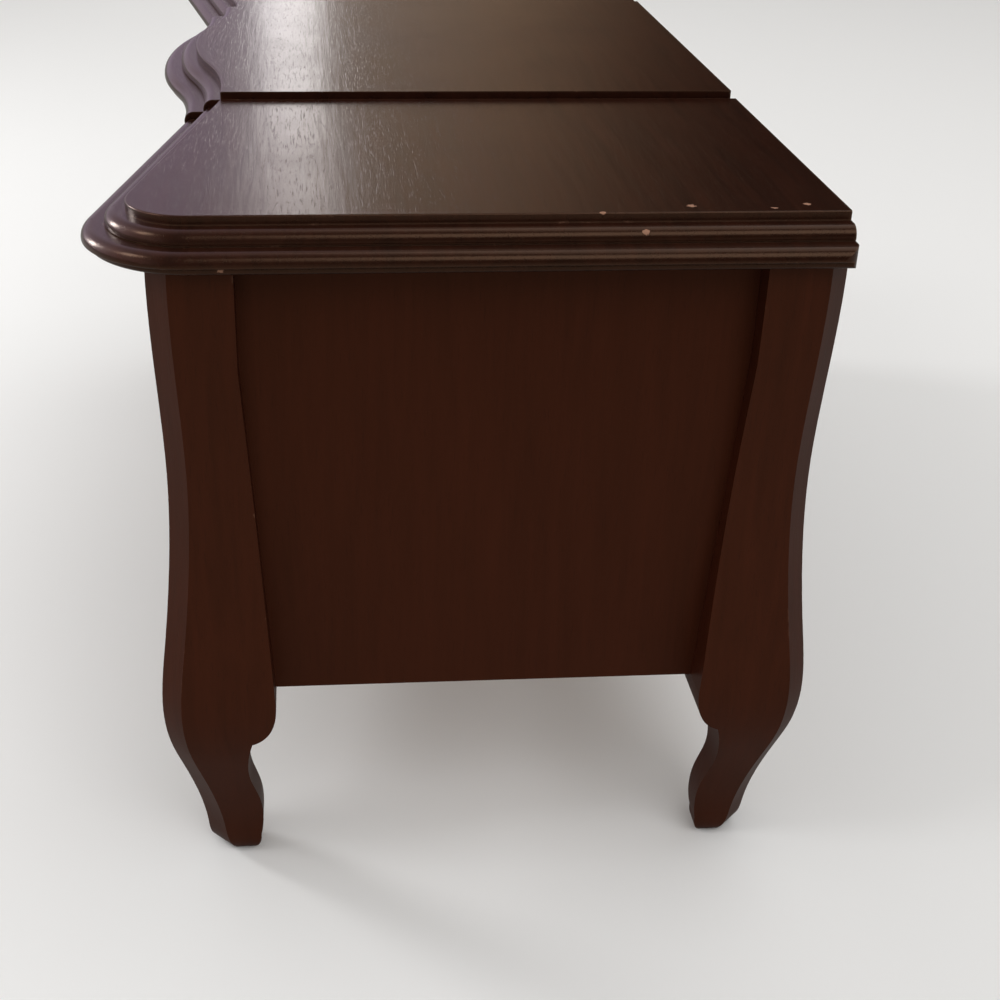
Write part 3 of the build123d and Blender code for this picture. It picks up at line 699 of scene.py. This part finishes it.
# %% Velvet lining and inner wall
rim_roundness = 0.0007
rim_angle = math.radians(30)
for node_name in ("compartment_lining", "inner_wall"):
    cover = merged_copy(node_name, "velvet_" + node_name)
    add_modifier(cover, "BEVEL", width=rim_roundness, segments=3, limit_method="ANGLE",
                 angle_limit=rim_angle)
    dress(cover, velvet, "casing", "velvet", node_name)

# %% [markdown]
# Each drawer gets a velvet pad on its floor. A pad follows its drawer's plan, curved front and all,
# so it starts from the floor's own face: that face is picked by its height and its upward normal,
# split off, pulled up to the pad's thickness and rounded over.

# %% Velvet pads in the drawers
pad_thickness = 0.0016
pad_inset = 0.0005
pad_roundness = pad_thickness * 0.45
facing_up = 0.9


def floor_pad(drawer):
    """A thin velvet pad on a drawer's floor."""
    pad = merged_copy(drawer + "_box", drawer + "_pad")
    low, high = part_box(drawer + "_box")
    mesh = bmesh.new()
    mesh.from_mesh(pad.data)
    inner_floor = [face for face in mesh.faces
                   if face.normal.z > facing_up and face.calc_center_median().z < (low.z + high.z) / 2]
    unwanted = [face for face in mesh.faces if face not in inner_floor]
    bmesh.ops.delete(mesh, geom=unwanted, context="FACES")
    mesh.to_mesh(pad.data)
    mesh.free()
    select_only(pad)
    bpy.ops.object.mode_set(mode="EDIT")
    bpy.ops.mesh.select_all(action="SELECT")
    bpy.ops.mesh.inset(thickness=pad_inset, depth=0)
    bpy.ops.mesh.select_all(action="INVERT")
    bpy.ops.mesh.delete(type="FACE")
    bpy.ops.mesh.select_all(action="SELECT")
    bpy.ops.mesh.extrude_region_move(TRANSFORM_OT_translate={"value": (0, 0, pad_thickness)})
    bpy.ops.mesh.select_all(action="SELECT")
    bpy.ops.mesh.normals_make_consistent(inside=False)
    bpy.ops.object.mode_set(mode="OBJECT")
    add_modifier(pad, "BEVEL", width=pad_roundness, segments=3, limit_method="ANGLE",
                 angle_limit=corner_angle)
    return pad


for body in frame["bodies"]:
    if body.endswith("_drawer"):
        drawer_pad = floor_pad(body)
        dress(drawer_pad, velvet, body, "velvet")

# %% [markdown]
# The ring cushion is a row of foam rolls under one skin of velvet. Rings stand in the slits between
# them. Plain cylinders would look like pipes, so the rolls are melted into one skin by a voxel
# remesh and then blown up a little as cloth, which gives the soft tight look of stuffed fabric.

# %% Ring cushion
cushion_low, cushion_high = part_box("ring_cushion")
roll_count = 6
roll_pitch = (cushion_high.y - cushion_low.y) / roll_count
slit_half = 0.0004
roll_radius = roll_pitch / 2 - slit_half
roll_end_roundness = 0.0016
skin_voxel = 0.0009
swell_limit = 0.0007
cushion_margin = 0.0006
roll_middle_x = (cushion_low.x + cushion_high.x) / 2
roll_axis_height = cushion_high.z - roll_radius - cushion_margin
cushion_length = cushion_high.x - cushion_low.x - 2 * cushion_margin
cushion_width = cushion_high.y - cushion_low.y - 2 * cushion_margin
air_pressure = 4.0
swell_steps = 12


def ring_roll(number):
    """One foam roll, lying along X, with rounded ends."""
    y = cushion_low.y + (number + 0.5) * roll_pitch
    bpy.ops.object.select_all(action="DESELECT")
    bpy.ops.mesh.primitive_cylinder_add(vertices=32, radius=roll_radius, depth=cushion_length,
                                        rotation=(0, math.pi / 2, 0),
                                        location=(roll_middle_x, y, roll_axis_height))
    roll = bpy.context.object
    bpy.ops.object.transform_apply(location=True, rotation=True, scale=True)
    bpy.ops.object.mode_set(mode="EDIT")
    bpy.ops.mesh.select_all(action="SELECT")
    bpy.ops.mesh.bevel(offset=roll_end_roundness, segments=4, affect="EDGES")
    bpy.ops.object.mode_set(mode="OBJECT")
    return roll


def foam_base():
    """The foam block that the rolls rise from, up to their axes."""
    middle_y = (cushion_low.y + cushion_high.y) / 2
    middle_z = (cushion_low.z + roll_axis_height) / 2
    bpy.ops.object.select_all(action="DESELECT")
    bpy.ops.mesh.primitive_cube_add(size=1, location=(roll_middle_x, middle_y, middle_z))
    base = bpy.context.object
    base.scale = (cushion_length, cushion_width, roll_axis_height - cushion_low.z)
    bpy.ops.object.transform_apply(location=True, rotation=True, scale=True)
    return base


rolls = [ring_roll(number) for number in range(roll_count)]
cushion = foam_base()
for roll in rolls:
    roll.select_set(True)
bpy.context.view_layer.objects.active = cushion
bpy.ops.object.join()
cushion.name = "velvet_ring_cushion"
add_modifier(cushion, "REMESH", mode="VOXEL", voxel_size=skin_voxel)
add_modifier(cushion, "SMOOTH", factor=0.5, iterations=3)
before_swelling = [vertex.co.copy() for vertex in cushion.data.vertices]
cloth = cushion.modifiers.new("cloth", "CLOTH")
cloth.settings.use_pressure = True
cloth.settings.uniform_pressure_force = air_pressure
cloth.settings.quality = 4
cloth.settings.effector_weights.gravity = 0.0
cloth.point_cache.frame_start = 1
cloth.point_cache.frame_end = swell_steps
for step in range(1, swell_steps + 1):
    bpy.context.scene.frame_set(step)
select_only(cushion)
bpy.ops.object.modifier_apply(modifier=cloth.name)
bpy.context.scene.frame_set(1)
# The skin swells no further than its limit, and its underside stays on the tray's floor.
for vertex, start in zip(cushion.data.vertices, before_swelling):
    move = vertex.co - start
    if move.length > swell_limit:
        move *= swell_limit / move.length
    vertex.co = start + move
    vertex.co.z = max(vertex.co.z, cushion_low.z)
dress(cushion, velvet, "casing", "velvet", "ring_cushion")

# %% [markdown]
# Four discs of firm pressed felt keep the lid off the casing. Each is punched from a sheet, and its
# rim wears over with use, so a cylinder with a rounded rim is the whole of it.

# %% Felt bumpers
bumper_low, bumper_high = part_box("lid_bumpers")
bumper_radius = 0.002
bumper_roundness = 0.0005
bumper_height = bumper_high.z - bumper_low.z
bumper_middle_z = (bumper_low.z + bumper_high.z) / 2
bumper_places = [(x, y) for x in (bumper_low.x + bumper_radius, bumper_high.x - bumper_radius)
                 for y in (bumper_low.y + bumper_radius, bumper_high.y - bumper_radius)]


def felt_disc(x, y):
    """One felt disc with a rounded rim."""
    bpy.ops.object.select_all(action="DESELECT")
    bpy.ops.mesh.primitive_cylinder_add(vertices=32, radius=bumper_radius, depth=bumper_height,
                                        location=(x, y, bumper_middle_z))
    disc = bpy.context.object
    bpy.ops.object.transform_apply(location=True, rotation=True, scale=True)
    add_modifier(disc, "BEVEL", width=bumper_roundness, segments=3, limit_method="ANGLE",
                 angle_limit=corner_angle)
    return disc


discs = [felt_disc(x, y) for x, y in bumper_places]
bpy.ops.object.select_all(action="DESELECT")
for disc in discs:
    disc.select_set(True)
bumpers = discs[0]
bpy.context.view_layer.objects.active = bumpers
bpy.ops.object.join()
bumpers.name = "felt_bumpers"
dress(bumpers, felt, "casing", "felt", "lid_bumpers")
